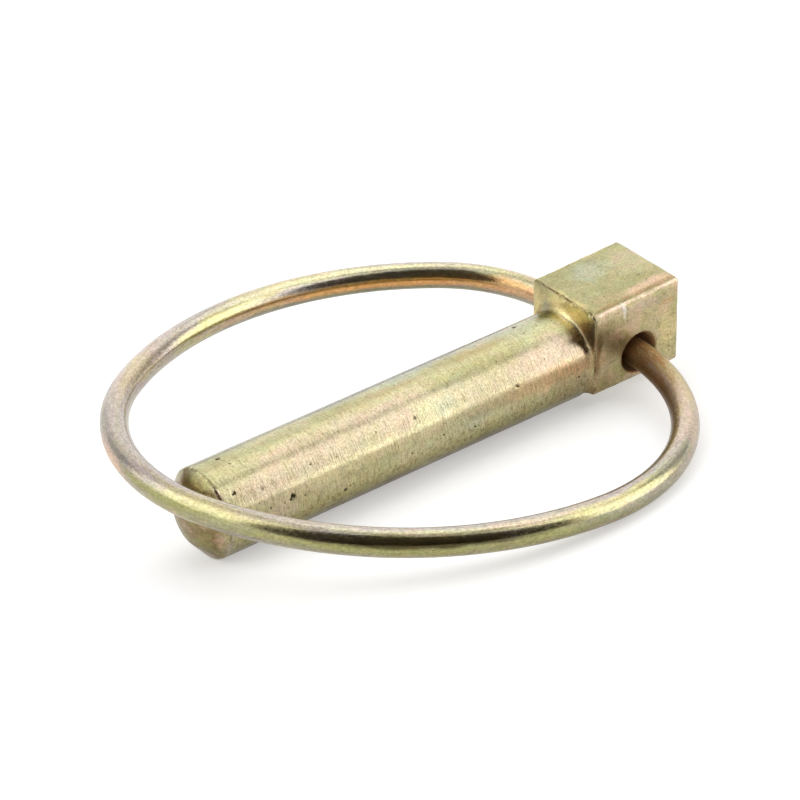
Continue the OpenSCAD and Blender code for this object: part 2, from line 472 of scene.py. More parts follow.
# %% Make the ring, and let it remember the straight wire
ring = make_piece("wire_ring", wire_points, wire_faces, "ring_body", "ring",
                  "straight_wire", wire_straight)

# %% [markdown]
# ## A short hand for drawing finishes
# A finish is a tree of nodes. Written out in full, each node takes five or six lines,
# which hides the idea. These helpers add one node each and return its output, so that
# a finish reads like a recipe. A number or a colour may stand wherever an output may.


# %% A helper that adds any node and connects it
class Recipe:
    """A material, or a world, being drawn."""

    def __init__(self, owner):
        owner.use_nodes = True
        self.owner = owner
        self.tree = owner.node_tree
        self.shader = next(node for node in self.tree.nodes if node.outputs)

    def add(self, kind, sockets, output=0, **settings):
        node = self.tree.nodes.new(kind)
        for setting, value in settings.items():
            setattr(node, setting, value)
        for socket, value in sockets.items():
            self.connect(node.inputs[socket], value)
        return node.outputs[output]

    def connect(self, socket, value):
        if isinstance(value, bpy.types.NodeSocket):
            self.tree.links.new(value, socket)
        elif isinstance(value, (tuple, list)) and socket.type == "RGBA":
            socket.default_value = (*value, 1)
        else:
            socket.default_value = value

    def give(self, **sockets):
        """Sets or connects sockets of the shader; an underscore stands for a space."""
        for name, value in sockets.items():
            self.connect(self.shader.inputs[name.replace("_", " ")], value)


print("a recipe can", ", ".join(word for word in vars(Recipe) if not word.startswith("_")))


# %% Helpers for the nodes that finishes are made of
class Finish(Recipe):
    """A recipe with a short word for each common node."""

    def maths(self, operation, first, second=0.0):
        return self.add("ShaderNodeMath", {0: first, 1: second}, operation=operation)

    def times(self, first, second):
        return self.maths("MULTIPLY", first, second)

    def vector(self, operation, first, second, output="Vector"):
        return self.add("ShaderNodeVectorMath", {0: first, 1: second}, output,
                        operation=operation)

    def stretch(self, vector, factors):
        return self.vector("MULTIPLY", vector, factors)

    def shift(self, vector, offset):
        return self.vector("ADD", vector, offset)

    def scale(self, vector, factor):
        return self.add("ShaderNodeVectorMath", {0: vector, 3: factor}, operation="SCALE")

    def step(self, value, low, high, to_low=0.0, to_high=1.0):
        """Goes smoothly from to_low to to_high as value goes from low to high."""
        return self.add("ShaderNodeMapRange", {0: value, 1: low, 2: high, 3: to_low, 4: to_high},
                        interpolation_type="SMOOTHSTEP")

    def clouds(self, vector, scale, detail=2.0, roughness=0.5, output="Fac"):
        return self.add("ShaderNodeTexNoise", {
            "Vector": vector, "Scale": scale, "Detail": detail, "Roughness": roughness}, output)

    def mix(self, factor, first, second):
        """Mixes two colours."""
        return self.add("ShaderNodeMix", {0: factor, 6: first, 7: second}, 2, data_type="RGBA")


forging = Finish(bpy.data.materials.new("yellow_zinc_forging"))
print("drawing", forging.owner.name, "into", forging.shader.name)

# %% [markdown]
# ## Yellow zinc on the forging
# Zinc plate dipped in a yellow passivate has a clear film so thin that it shows the
# colours of oil on water: olive and gold where it is thin, then pink, then green. Paint
# would be one even colour. Thin-film physics would need the film's true thickness. So
# the film is drawn as clouds that pick a colour from a set of those tints, over a metal
# whose gloss changes with wear.

# %% The tints of the film, and of dirt, rust and bare metal; some also paint light and shade
SCRAPE = (0.92, 0.88, 0.80)
GOLD_AND_REFLECTION = (0.86, 0.69, 0.31)
WARM_PAINTED_REFLECTION = (0.86, 0.58, 0.32)
BARE_AND_HIGHLIGHT = (0.80, 0.61, 0.47)
PALE_PAINTED_REFLECTION = (0.78, 0.68, 0.42)
BUTTER_AND_HIGHLIGHT = (0.68, 0.62, 0.28)
ROSE = (0.68, 0.47, 0.33)
AMBER = (0.66, 0.35, 0.13)
LEMON_AND_HIGHLIGHT = (0.60, 0.56, 0.34)
PINK = (0.58, 0.45, 0.34)
PALE = (0.57, 0.48, 0.32)
KHAKI = (0.56, 0.475, 0.27)
RUSTY_BORE = (0.52, 0.32, 0.16)
BRASS = (0.48, 0.42, 0.18)
ORANGE = (0.48, 0.275, 0.11)
STRAW = (0.46, 0.425, 0.24)
MINT = (0.44, 0.47, 0.34)
TAN = (0.44, 0.315, 0.17)
MAUVE = (0.41, 0.36, 0.33)
RUSTY_WIRE = (0.40, 0.22, 0.09)
OLIVE = (0.37, 0.345, 0.17)
LIME = (0.37, 0.36, 0.14)
BRONZE = (0.36, 0.21, 0.10)
SLATE = (0.33, 0.34, 0.28)
BROWN = (0.27, 0.185, 0.085)
DARK_OLIVE_AND_SHADE = (0.22, 0.18, 0.07)
RUST_AND_SHADE = (0.20, 0.10, 0.04)
MOSS = (0.17, 0.165, 0.07)
UMBER = (0.16, 0.115, 0.04)
BRUISE_AND_SHADE = (0.13, 0.075, 0.035)
SOOT_AND_DARK_REFLECTION = (0.045, 0.032, 0.016)
print("palest tint", SCRAPE, "darkest tint", SOOT_AND_DARK_REFLECTION)

# %% Read what the skin remembers, and tell the regions apart
place = forging.add("ShaderNodeAttribute", {}, "Vector", attribute_name="as_forged")
edge = forging.add("ShaderNodeAttribute", {}, "Fac", attribute_name="sharpness")
split = forging.add("ShaderNodeSeparateXYZ", {0: place}, "X").node.outputs
head = forging.step(split["X"], HEAD_BLEND, -HEAD_BLEND)
near_side = forging.step(split["Y"], NEAR_FACE - 0.45, NEAR_FACE - 0.15)
near_side = forging.times(near_side, head)
bevel = forging.step(split["X"], BEVEL_START + 0.1, BEVEL_START + 1)
print("three regions drawn in", len(forging.tree.nodes), "nodes")


# %% Stir a place, so that what is drawn there loses its neat outline
def stirring(finish, place, scale, detail, roughness=0.6):
    """A soft random direction at each place, about 0 on average."""
    colour = finish.clouds(place, scale, detail, roughness, output="Color")
    return finish.vector("SUBTRACT", colour, (0.5, 0.5, 0.5))


MUCH, LITTLE = (6, 3, 3), (2, 2, 2)
stir = stirring(forging, place, 0.3, 4)
stirred = forging.shift(place, forging.stretch(stir, MUCH))
eased = forging.shift(place, forging.stretch(stir, LITTLE))
print("places stirred by up to", MUCH[0] / 2, "or", LITTLE[0] / 2, "mm")

# %% Draw the film as clouds of its tints
film = forging.clouds(forging.stretch(stirred, (0.5, 1, 1)), 0.17, 4, 0.55)
colour = forging.mix(forging.step(film, 0.40, 0.58), OLIVE, STRAW)
colour = forging.mix(forging.step(film, 0.56, 0.70, 0, 0.7), colour, PINK)
green = forging.clouds(forging.shift(stirred, (40, 3, 9)), 0.19, 3, 0.5)
colour = forging.mix(forging.step(green, 0.56, 0.72, 0, 0.5), colour, MINT)
colour = forging.mix(forging.times(near_side, 0.85), colour, KHAKI)
colour = forging.mix(forging.times(bevel, 0.9), colour, BROWN)
print("film drawn in", len(forging.tree.nodes), "nodes")

# %% [markdown]
# ## Stains
# On the real pin the film has settled thicker along some lines than others: it is pale
# along the top of the shank, and gold or rusty round the shoulder. The brown underneath
# the shank is painted shade, the gold on the shoulder face is partly a painted
# reflection, and the rusty brown by its near edge is partly painted shade.
# Clouds alone would put these anywhere. An image would tie them to a layout of the
# surface. Each stain is a soft spot at a place in millimetres, in the pin's own frame,
# with three half sizes, so it can be moved as easily as a lamp.


# %% A soft spot, and a list of them laid over a colour
def stain(finish, place, centre, size, edge=0.5):
    """1 at centre, 0 beyond size, where size has three lengths."""
    away = finish.vector("SUBTRACT", place, centre)
    away = finish.vector("DIVIDE", away, size)
    distance = finish.vector("LENGTH", away, (0, 0, 0), "Value")
    return finish.step(distance, 1.0, 1.0 - edge)


def painted(finish, colour, place, stains):
    """Lays each stain over the colour: its tint, strength, centre and three half sizes."""
    for tint, strength, centre, size in stains:
        spot = finish.times(stain(finish, place, centre, size, 0.8), strength)
        colour = finish.mix(spot, colour, tint)
    return colour


SHANK_STAINS_AND_SHADE = [
    (PALE, 0.8, on_shank(24, 42), (40, 2.6, 2.6)), (LEMON_AND_HIGHLIGHT, 0.8, on_shank(21, 38), (6, 2.2, 2.2)),
    # Painted shade: dark olive and dark brown along the underside of the shank.
    (DARK_OLIVE_AND_SHADE, 0.95, on_shank(24, -48), (40, 3.7, 3.7)),
    (BRUISE_AND_SHADE, 0.95, on_shank(24, -62), (40, 3.6, 3.6)),
    (SLATE, 0.9, on_shank(20, 118), (40, 1.9, 1.9)), (KHAKI, 0.6, on_shank(24, 4), (40, 2.2, 2.2)),
    (BRASS, 0.8, on_shank(24, -16), (40, 1.7, 1.7)), (STRAW, 0.7, on_shank(24, 83), (40, 1.2, 1.2)),
    (PINK, 0.7, on_shank(5, 44), (9, 2.6, 2.6)), (MINT, 0.6, on_shank(19, 34), (2.4, 1.5, 1.5)),
    (PINK, 0.65, on_shank(25, 46), (3.5, 1.6, 1.6)), (PINK, 0.6, on_shank(35, 52), (5, 1.8, 1.8)),
    (PINK, 0.6, on_shank(43, 40), (4, 2, 2)), (MINT, 0.6, on_shank(16, 8), (4.5, 1.5, 1.5)),
    (MINT, 0.45, on_shank(5, 96), (4, 2.4, 2.4)), (ORANGE, 0.3, on_shank(12, 92), (5, 1.2, 1.2)),
    (TAN, 0.4, on_shank(24, 88), (9, 0.9, 0.9)), (PINK, 0.5, on_shank(42, 0), (4, 3, 3)),
    (PINK, 0.45, on_shank(32, 72), (16, 1.2, 1.2)), (MINT, 0.4, on_shank(22, 104), (5, 1.6, 1.6)),
    (TAN, 0.45, on_shank(2, -6), (5, 4, 4)), (LIME, 0.5, on_shank(29, 8), (5, 1.8, 1.8)),
    (MOSS, 0.8, on_shank(1.2, 106), (2.2, 1.3, 1.3)),
]
colour = painted(forging, colour, stirred, SHANK_STAINS_AND_SHADE)
print(len(SHANK_STAINS_AND_SHADE), "soft stains along the shank")

# %% Stain the head
HEAD_STAINS_AND_PAINTED_LIGHT = [
    # The gold on the shoulder face is partly a painted reflection, and the rust by its near edge is
    # partly painted shade.
    (GOLD_AND_REFLECTION, 0.95, (0, 1.0, 6.0), (1.0, 5, 2.0)), (GOLD_AND_REFLECTION, 0.6, (0, -4.4, 4), (1, 2.4, 3.6)),
    (AMBER, 0.6, (0, 3.8, 4.8), (0.8, 1.4, 1.4)), (RUST_AND_SHADE, 0.7, (-0.2, 5.0, 3.0), (0.8, 1.3, 3.0)),
    (RUST_AND_SHADE, 0.85, (-0.2, 5.2, 1.6), (0.7, 1.0, 3.6)), (MINT, 0.6, (-5.4, -2.2, 7.2), (4, 2.6, 1.5)),
    (MOSS, 0.4, (-2.4, 5.3, 2.4), (1.5, 1, 2.4)), (MOSS, 0.3, (-1.2, 5.3, 3.8), (1.6, 1, 1.6)),
    (ROSE, 0.9, (-8.5, 4.0, 7.2), (5.5, 1.3, 1)), (TAN, 0.45, (-3, 3.8, 7.1), (2.8, 1.6, 1)),
    (PINK, 0.7, (-6, 5.3, -2.2), (2.6, 1, 1)), (PINK, 0.6, (-7, 5.4, 5.9), (4.5, 1, 1)),
    (GOLD_AND_REFLECTION, 0.3, (-6, -4.7, 7.2), (6, 0.7, 1)), (ORANGE, 0.5, (-10, 5.3, 4.9), (2, 0.8, 0.7)),
    (GOLD_AND_REFLECTION, 0.35, (-10.2, 5.3, 1.5), (2.4, 1, 4)), (TAN, 0.6, (-1.8, 5.3, -1.4), (2.0, 1, 1.8)),
    (SCRAPE, 1.0, (-4.1, 5.3, 6.0), (0.35, 1, 1.4)), (DARK_OLIVE_AND_SHADE, 0.4, (-1.5, 5.3, -2), (2.5, 1, 1.5)),
    (RUST_AND_SHADE, 0.35, (0, 5, -2.4), (0.8, 2, 1.0)), (RUST_AND_SHADE, 0.7, (-4.6, 5.3, -1.2), (1.4, 0.7, 1.0)),
    (SOOT_AND_DARK_REFLECTION, 0.8, (-4.7, -4.8, 7.05), (0.4, 0.5, 0.5)),
]
colour = painted(forging, colour, eased, HEAD_STAINS_AND_PAINTED_LIGHT)
print(len(HEAD_STAINS_AND_PAINTED_LIGHT), "stains on the head")

# %% Lay the painted bright reflections along the shank, then stain the shoulder and the tip
# Painted reflections: warm and pale bands on the near side of the shank, painted over the ring's
# dark reflection, and a lemon band lower down that brightens the table's reflection.
SHANK_PAINTED_REFLECTIONS = [
    (WARM_PAINTED_REFLECTION, 0.7, on_shank(5, 17), (12, 1.5, 1.5)), (PALE_PAINTED_REFLECTION, 0.9, on_shank(29, 20), (26, 1.3, 1.3)),
    (LEMON_AND_HIGHLIGHT, 0.55, on_shank(22, 1), (16, 2.6, 2.6)),
]
SHOULDER_STAINS = [
    (TAN, 0.5, (0.6, 4.0, 3.2), (1.0, 1.4, 2.8)), (LEMON_AND_HIGHLIGHT, 0.9, (0.5, 1.8, 5.0), (0.6, 2.8, 0.8)),
    (ROSE, 0.6, (-4, 5.3, 3.8), (4, 1, 2)), (TAN, 0.5, (0, 5.0, -1.2), (0.7, 2, 2.4)),
]
TIP_STAINS = [
    (MAUVE, 0.6, (49.2, 3.6, -2.4), (1.2, 1.4, 2.4)), (OLIVE, 0.6, (49.4, -1, 1.5), (1.5, 2.6, 2)),
    (SLATE, 0.7, (48.6, 4.1, 1.6), (0.8, 1.2, 1.8)), (RUST_AND_SHADE, 0.5, (47.9, 3.0, -4.0), (0.5, 2.6, 1.4)),
    (UMBER, 0.85, (48.4, -0.2, 3.8), (1.2, 5.2, 2.4)),
    (MAUVE, 0.8, on_shank(47.2, -22), (0.5, 2.0, 2.0)),
    (BARE_AND_HIGHLIGHT, 0.9, on_shank(47.2, 52), (0.35, 0.8, 0.8)),
]
for stains in (SHANK_PAINTED_REFLECTIONS, SHOULDER_STAINS, TIP_STAINS):
    colour = painted(forging, colour, eased, stains)
    print(len(stains), "stains painted")

# %% [markdown]
# ## Worn edges
# Where the plate is knocked it goes dark, and where a hand or a pocket rubs it, it
# shines through almost bare. Both lie along the head's edges. Sharpness alone can't
# tell the bruised edges from the bright one, so those are drawn as lines between two
# corners, and scuffs break every line up. The bright line along the near top edge is a
# painted highlight.


# %% A soft line between two points
def near_line(finish, place, first, second, inner, outer):
    """1 along the line between two points, 0 further from it than outer, in mm."""
    ahead = Vector(second) - Vector(first)
    start = finish.vector("SUBTRACT", place, first)
    reach = finish.vector("DOT_PRODUCT", start, tuple(ahead / ahead.length_squared), "Value")
    reach = finish.add("ShaderNodeClamp", {0: reach})
    nearest = finish.scale(tuple(ahead), reach)
    away = finish.vector("LENGTH", finish.vector("SUBTRACT", start, nearest), (0, 0, 0), "Value")
    return finish.step(away, outer, inner)


SHOULDER_FAR, SHOULDER_NEAR = (0, -4.9, HEAD_TOP), (0, 4.6, HEAD_TOP)
shoulder_top = near_line(forging, place, SHOULDER_FAR, SHOULDER_NEAR, 0.06, 0.24)
shoulder_side = near_line(forging, place, (0, NEAR_FACE, 6.0), (0, NEAR_FACE, 0), 0.05, 0.22)
scuffs = forging.clouds(forging.stretch(place, (0.7, 1, 1)), 1.1, 4, 0.7)
bruised = forging.times(forging.maths("MAXIMUM", shoulder_top, shoulder_side),
                        forging.step(scuffs, 0.40, 0.54, 0.0, 0.95))
print("shoulder bruised from", SHOULDER_FAR, "to", SHOULDER_NEAR)

# %% Bronze the near top edge, and paint a highlight along its corner
SHARP = (0.02, 0.05)

bronzed = near_line(forging, place, (0, 4.5, 6.96), (-12, 4.5, 7.34), 0.1, 0.4)
bronzed = forging.times(bronzed, forging.step(scuffs, 0.62, 0.46, 0.1, 0.5))
colour = forging.mix(bronzed, colour, BRONZE)
# Painted highlight: a bright line on the rounding of the near top edge, where the light catches it.
painted_highlight = near_line(forging, place, (0, 4.97, 6.66), (-12, 4.97, 7.04), 0.08, 0.28)
painted_highlight = forging.times(painted_highlight, forging.step(scuffs, 0.38, 0.5, 0.35, 1.0))
sharp = forging.step(edge, *SHARP)
worn = forging.times(sharp, forging.step(scuffs, 0.44, 0.62, 0, 0.5))
worn = forging.times(worn, forging.maths("SUBTRACT", 1.0, bruised))
# From here worn holds the edge wear and the painted highlight.
worn = forging.maths("MAXIMUM", worn, painted_highlight)
colour = forging.mix(forging.times(worn, 0.85), colour, BARE_AND_HIGHLIGHT)
print("edges start to wear at a sharpness of", SHARP[0], "mm")

# %% Darken the bruises, tan the hollows and rust the bore
dark = forging.times(sharp, forging.step(scuffs, 0.5, 0.4, 0, 0.5))
colour = forging.mix(forging.maths("MAXIMUM", bruised, dark), colour, BRUISE_AND_SHADE)
hollow = forging.step(edge, -0.01, -0.05)
colour = forging.mix(forging.times(hollow, 0.25), colour, TAN)
bore_ends = [(HOLE_BACK, across, HOLE_UP) for across in (-4.8, 5.2)]
bore = near_line(forging, place, *bore_ends, HOLE_R + 0.06, HOLE_R + 0.26)
colour = forging.mix(forging.times(bore, 0.85), colour, RUSTY_BORE)
print("bore rusted between", *bore_ends)

# %% [markdown]
# ## Turned marks, a darker lower part and mottling
# The shank was turned, so fine dark marks run round it. Clouds darken the lower part, and
# the head, which was not turned, is mottled. Each of these is the same cloud texture,
# squashed or stretched: squashed along the shank it gives rings, and stretched along the
# head it gives rubbing marks.

# %% Draw the turned marks, and darken the lower part with clouds
MARKS_PER_MM = 7

turned = forging.clouds(forging.stretch(place, (MARKS_PER_MM, 0.7, 0.7)), 1.0, 4, 0.7)
turned = forging.times(forging.step(turned, 0.5, 0.68, 0, 0.6), forging.step(head, 0, 1, 1, 0.15))
colour = forging.mix(turned, colour, DARK_OLIVE_AND_SHADE)
darker_low = forging.clouds(forging.stretch(place, (1, 0.6, 0.6)), 2.4, 4, 0.7)
low = forging.times(forging.step(split["Z"], 2.2, -1.5), forging.step(head, 0, 1, 1, 0.3))
darker_low = forging.times(forging.step(darker_low, 0.48, 0.66, 0, 0.85), low)
colour = forging.mix(darker_low, colour, DARK_OLIVE_AND_SHADE)
print("about", MARKS_PER_MM, "turned marks in a mm")

# %% Mottle the head and the bevel, and rub the head
mottled = forging.clouds(forging.shift(place, (5, 21, 8)), 0.45, 4, 0.62)
patch = forging.times(head, forging.step(split["Y"], 4.6, 5.2, 0.35, 1.0))
patch = forging.maths("MAXIMUM", patch, forging.step(split["X"], 47.2, 47.8))
warm = forging.times(forging.step(mottled, 0.52, 0.66, 0, 0.5), patch)
cool = forging.times(forging.step(mottled, 0.48, 0.36, 0, 0.5), patch)
colour = forging.mix(cool, forging.mix(warm, colour, ROSE), LIME)
rubbed = forging.clouds(forging.stretch(place, (0.5, 5, 3)), 1.0, 3, 0.7)
rubbed = forging.times(forging.step(rubbed, 0.56, 0.72, 0, 0.5), head)
colour = forging.mix(rubbed, colour, DARK_OLIVE_AND_SHADE)
print("mottled with", ROSE, "and", LIME)

# %% [markdown]
# ## Grain and pores
# Close up, the plate is made of zinc crystals, with fine dirt between them and small
# pores. A noise that only lightens and darkens looks like grey sand, so one layer also
# shifts the tint a little. Pores come from cells: a dot in the middle of a cell, in only
# some of the cells.


# %% Grain: zinc crystals and fine dirt, which break every tint into sand
def grain(finish, place, colour, size, dirt=0.6):
    """Breaks colour up into light and dark grains of about this size in mm."""
    fine = finish.clouds(place, 1 / size, 2, 0.7)
    coarse = finish.clouds(place, 0.3 / size, 3, 0.7)
    value = finish.maths("ADD", finish.step(fine, 0.3, 0.7, 0.80, 1.16),
                         finish.step(coarse, 0.3, 0.7, -0.07, 0.07))
    patches = finish.clouds(finish.shift(place, (7, 3, 5)), 0.16 / size, 1, 0.5, output="Color")
    patches = finish.mix(0.08, (0.5, 0.5, 0.5), patches)
    colour = finish.stretch(colour, finish.stretch(patches, (2, 2, 2)))
    colour = finish.scale(colour, value)
    specks = finish.clouds(finish.shift(place, (31, 17, 11)), 0.5 / size, 3, 0.75)
    return finish.mix(finish.step(specks, 0.64, 0.74, 0, dirt), colour, SOOT_AND_DARK_REFLECTION)


GRAIN_SIZE = 0.2
colour = grain(forging, place, colour, GRAIN_SIZE)
print("grains of", GRAIN_SIZE, "mm")


# %% Pores, and soot in the deep pits
def pores(finish, place, spacing, size, share):
    """1 inside small round pores: this share of the places, this far apart in mm."""
    cells = finish.add("ShaderNodeTexVoronoi", {"Vector": place, "Scale": 1 / spacing},
                       "Distance").node.outputs
    dot = finish.step(cells["Distance"], size / spacing, 0.5 * size / spacing)
    pick = finish.add("ShaderNodeSeparateColor", {0: cells["Color"]}, 0)
    return finish.times(dot, finish.step(pick, share, share - 0.02))


colour = forging.mix(forging.times(pores(forging, place, 0.9, 0.13, 0.35), 0.75), colour, SOOT_AND_DARK_REFLECTION)
ragged = forging.stretch(stirring(forging, place, 3.0, 2), (0.5, 0.5, 0.5))
ragged = forging.shift(place, ragged)
for centre, radius, _ in DEEP_PITS:
    spot = stain(forging, ragged, centre, (radius, 0.9 * radius, 0.9 * radius))
    colour = forging.mix(forging.times(spot, 0.85), colour, SOOT_AND_DARK_REFLECTION)
print(len(DEEP_PITS), "deep pits blackened")

# %% [markdown]
# ## Gloss and relief
# The plate is glossy on the turned shank, duller on the forged head, and dull where it
# is rusty or scuffed. One roughness for all would make it look dipped in varnish. The
# turned marks also catch the light as fine grooves, which stretch a highlight round the
# shank, so the shader's anisotropy follows them as well as a small bump.

# %% Add up the roughness
SHANK_ROUGHNESS = (0.17, 0.27)
HEAD_DULLER = 0.2

grit = forging.clouds(place, 4.5, 3, 0.65)
roughness = forging.maths("ADD", forging.step(grit, 0.3, 0.7, *SHANK_ROUGHNESS),
                          forging.times(head, HEAD_DULLER))
scuffed = near_line(forging, place, on_shank(-1, 15), on_shank(48, 15), 0.4, 1.15)
for region, duller in ((hollow, 0.3), (bore, 0.45), (scuffed, 0.28)):
    roughness = forging.maths("ADD", roughness, forging.times(region, duller))
roughness = forging.maths("SUBTRACT", roughness, forging.times(worn, 0.12))
print("roughness", SHANK_ROUGHNESS, "on the shank, and", HEAD_DULLER, "more on the head")

# %% Cut fine grooves round the shank, and finish the forging
RELIEF = 0.03 * MM

grooves = forging.clouds(forging.stretch(place, (6, 0.35, 0.35)), 1.0, 4, 0.6)
grooves = forging.times(grooves, forging.step(head, 0, 1, 1.0, 0.2))
relief = forging.maths("ADD", grooves, forging.times(grit, 0.4))
bump = {"Height": relief, "Strength": 0.5, "Distance": RELIEF}
forging.give(
    Base_Color=colour, Roughness=roughness, Metallic=1.0,
    Normal=forging.add("ShaderNodeBump", bump, "Normal"),
    Tangent=forging.add("ShaderNodeTangent", {}, "Tangent", direction_type="RADIAL", axis="X"),
    Anisotropic=0.5, Anisotropic_Rotation=0.25)
pin.data.materials.append(forging.owner)
print("forging finished in", len(forging.tree.nodes), "nodes")

# %% [markdown]
# ## Yellow zinc on the wire
# Drawn wire is glossier than a forging, and its marks run along it. The same film lies
# on it, in long patches. The marks are drawn on the straight wire that the mesh
# remembers, so they bend with the ring and meet all the way round the wire. Textures
# laid along X, Y and Z would run across the wire wherever the ring turns.

# %% Draw the film in long patches
wire = Finish(bpy.data.materials.new("yellow_zinc_wire"))
place = wire.add("ShaderNodeAttribute", {}, "Vector", attribute_name="straight_wire")
stir = stirring(wire, wire.stretch(place, (1, 1, 0.3)), 0.8, 3)
stirred = wire.shift(place, wire.stretch(stir, (0.8, 0.8, 10)))
film = wire.clouds(wire.stretch(stirred, (1, 1, 0.1)), 0.7, 3, 0.5)
colour = wire.mix(wire.step(film, 0.42, 0.6), MAUVE, STRAW)
colour = wire.mix(wire.step(film, 0.58, 0.7, 0, 0.8), colour, PINK)
print("drawing", wire.owner.name)

# %% Draw the marks of the drawing die, and the rust near the hole
RUST_REACH = (26, 7)

streaks = wire.clouds(wire.stretch(place, (3.5, 3.5, 0.35)), 1.0, 3, 0.6)
colour = wire.mix(wire.step(streaks, 0.5, 0.66, 0, 0.45), colour, DARK_OLIVE_AND_SHADE)
scratches = wire.clouds(wire.stretch(place, (6, 6, 1.2)), 1.0, 3, 0.7)
colour = wire.mix(wire.step(scratches, 0.6, 0.72, 0, 0.5), colour, BARE_AND_HIGHLIGHT)
distance = wire.add("ShaderNodeSeparateXYZ", {0: place}, "Z")
near_hole = wire.step(distance, *RUST_REACH)
rusty = wire.times(near_hole, wire.step(streaks, 0.42, 0.56, 0.45, 0.95))
colour = wire.mix(rusty, colour, RUSTY_WIRE)
print("rust starts at", RUST_REACH[0], "mm from the split and is full at", RUST_REACH[1])


# %% Stain the wire: painted dark reflections with painted highlights at their ends, and an amber band inside
def on_wire(distance, turned):
    """A place on the straight wire, this far along, turned from its inner side up."""
    angle = math.radians(turned)
    return (WIRE_R * math.cos(angle), WIRE_R * math.sin(angle), distance)


WIRE_LENGTH = float(wire_straight[-1, 2])
WIRE_STAINS_AND_REFLECTIONS = [
    # Painted light: soot and dark olive at 60 mm are a painted dark reflection; butter at its two
    # ends and lemon along the top are painted highlights.
    (BUTTER_AND_HIGHLIGHT, 0.55, on_wire(38, 128), (1.2, 1, 11)), (BUTTER_AND_HIGHLIGHT, 0.6, on_wire(80, 138), (1.3, 1.0, 13)),
    (LIME, 0.85, on_wire(60, 176), (1.3, 1.1, 40)), (SOOT_AND_DARK_REFLECTION, 0.93, on_wire(60, 157), (0.55, 0.6, 18)),
    (DARK_OLIVE_AND_SHADE, 0.6, on_wire(60, 140), (0.8, 0.8, 16)), (LEMON_AND_HIGHLIGHT, 0.6, on_wire(60, 96), (1, 0.6, 16)),
    (MAUVE, 0.85, on_wire(60, 72), (1.3, 1, 46)), (PINK, 0.7, on_wire(20, 120), (3, 3, 12)),
    (SLATE, 0.5, on_wire(29, 115), (1, 1, 6)), (MAUVE, 0.7, on_wire(99, 140), (3, 3, 16)),
    (PINK, 0.45, on_wire(112, 90), (3, 3, 12)), (ROSE, 0.9, on_wire(96, 186), (1.2, 1.2, 7)),
    (LIME, 0.85, on_wire(86, 160), (0.8, 0.8, 9)), (LEMON_AND_HIGHLIGHT, 0.9, on_wire(143, 72), (0.9, 0.8, 28)),
    (BUTTER_AND_HIGHLIGHT, 0.65, on_wire(126, 36), (1, 0.8, 11)), (AMBER, 1.0, on_wire(148, 2), (0.9, 0.9, 30)),
    (AMBER, 0.7, on_wire(164, 32), (0.8, 0.8, 9)), (MOSS, 0.75, on_wire(146, -36), (0.9, 0.9, 34)),
    # On the inner side near the split, the rust is partly real and partly painted shade from the
    # head.
    (RUST_AND_SHADE, 0.9, on_wire(12, 0), (1.6, 1.6, 16)), (RUSTY_WIRE, 0.95, on_wire(0, 90), (3, 3, 8)),
    (BRASS, 0.6, on_wire(13, 118), (1.0, 1.0, 9)), (RUST_AND_SHADE, 0.6, on_wire(WIRE_LENGTH, 90), (3, 3, 6)),
]
colour = painted(wire, colour, stirred, WIRE_STAINS_AND_REFLECTIONS)
colour = grain(wire, wire.stretch(place, (1, 1, 0.6)), colour, GRAIN_SIZE)
print(len(WIRE_STAINS_AND_REFLECTIONS), "stains on the wire")

# %% Set the wire's gloss and relief, and finish it
grit = wire.clouds(wire.stretch(place, (1, 1, 0.5)), 5.0, 3, 0.65)
roughness = wire.maths("ADD", wire.step(grit, 0.3, 0.7, 0.13, 0.27), wire.times(near_hole, 0.3))
relief = wire.maths("ADD", streaks, wire.times(grit, 0.5))
bump = {"Height": relief, "Strength": 0.4, "Distance": RELIEF}
wire.give(Base_Color=colour, Roughness=roughness, Metallic=1.0,
          Normal=wire.add("ShaderNodeBump", bump, "Normal"))
ring.data.materials.append(wire.owner)
print("wire finished in", len(wire.tree.nodes), "nodes")

# %% [markdown]
# ## The table
# The object lies on a plain pale table. A small plane would show its edge in polished
# metal, so the table is one large disc, far wider than the view, and the metal sees it
# right out to the horizon. It glows a little, as white paper does under soft light.

# %% Lay the table under the object
TABLE_RADIUS = 3.0
TABLE_SIDES = 96

table_top = bpy.data.meshes.new("table_top")
rim = [(TABLE_RADIUS * math.cos(angle), TABLE_RADIUS * math.sin(angle), cad_low.z)
       for angle in np.linspace(0, 2 * math.pi, TABLE_SIDES, endpoint=False)]
table_top.from_pydata(rim, [], [tuple(range(len(rim)))])
table = bpy.data.objects.new("table_top", table_top)
bpy.context.scene.collection.objects.link(table)
table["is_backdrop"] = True
print("table at height", round(cad_low.z / MM, 2), "mm")

# %% Give it a pale paper finish
PAPER_GREY = 0.72

paper = Finish(bpy.data.materials.new("pale_paper"))
looked_at = paper.add("ShaderNodeLightPath", {}, "Is Camera Ray")
paper.give(
    Base_Color=(PAPER_GREY,) * 3, Roughness=0.9, Specular_IOR_Level=0.2,
    Emission_Color=(1, 1, 1), Emission_Strength=paper.step(looked_at, 0, 1, 0.3, 0.42))
table_top.materials.append(paper.owner)
print("paper of grey", PAPER_GREY)

# %% [markdown]
# ## Light
# Polished metal shows what stands round it more than it shows its own colour. So the
# object stands in a pale tent with bright panels and a dark opening on the viewer's
# side. Lamps would do, but their edges are hard. The tent is the world instead, drawn
# by direction, and each panel has soft edges.


# %% Aim: turns a compass bearing and a height into a direction
def toward(bearing, height):
    """Bearing 0 is +X and 90 is +Y; height is above the horizon. Both in degrees."""
    b, h = math.radians(bearing), math.radians(height)
    return Vector((math.cos(b) * math.cos(h), math.sin(b) * math.cos(h), math.sin(h)))


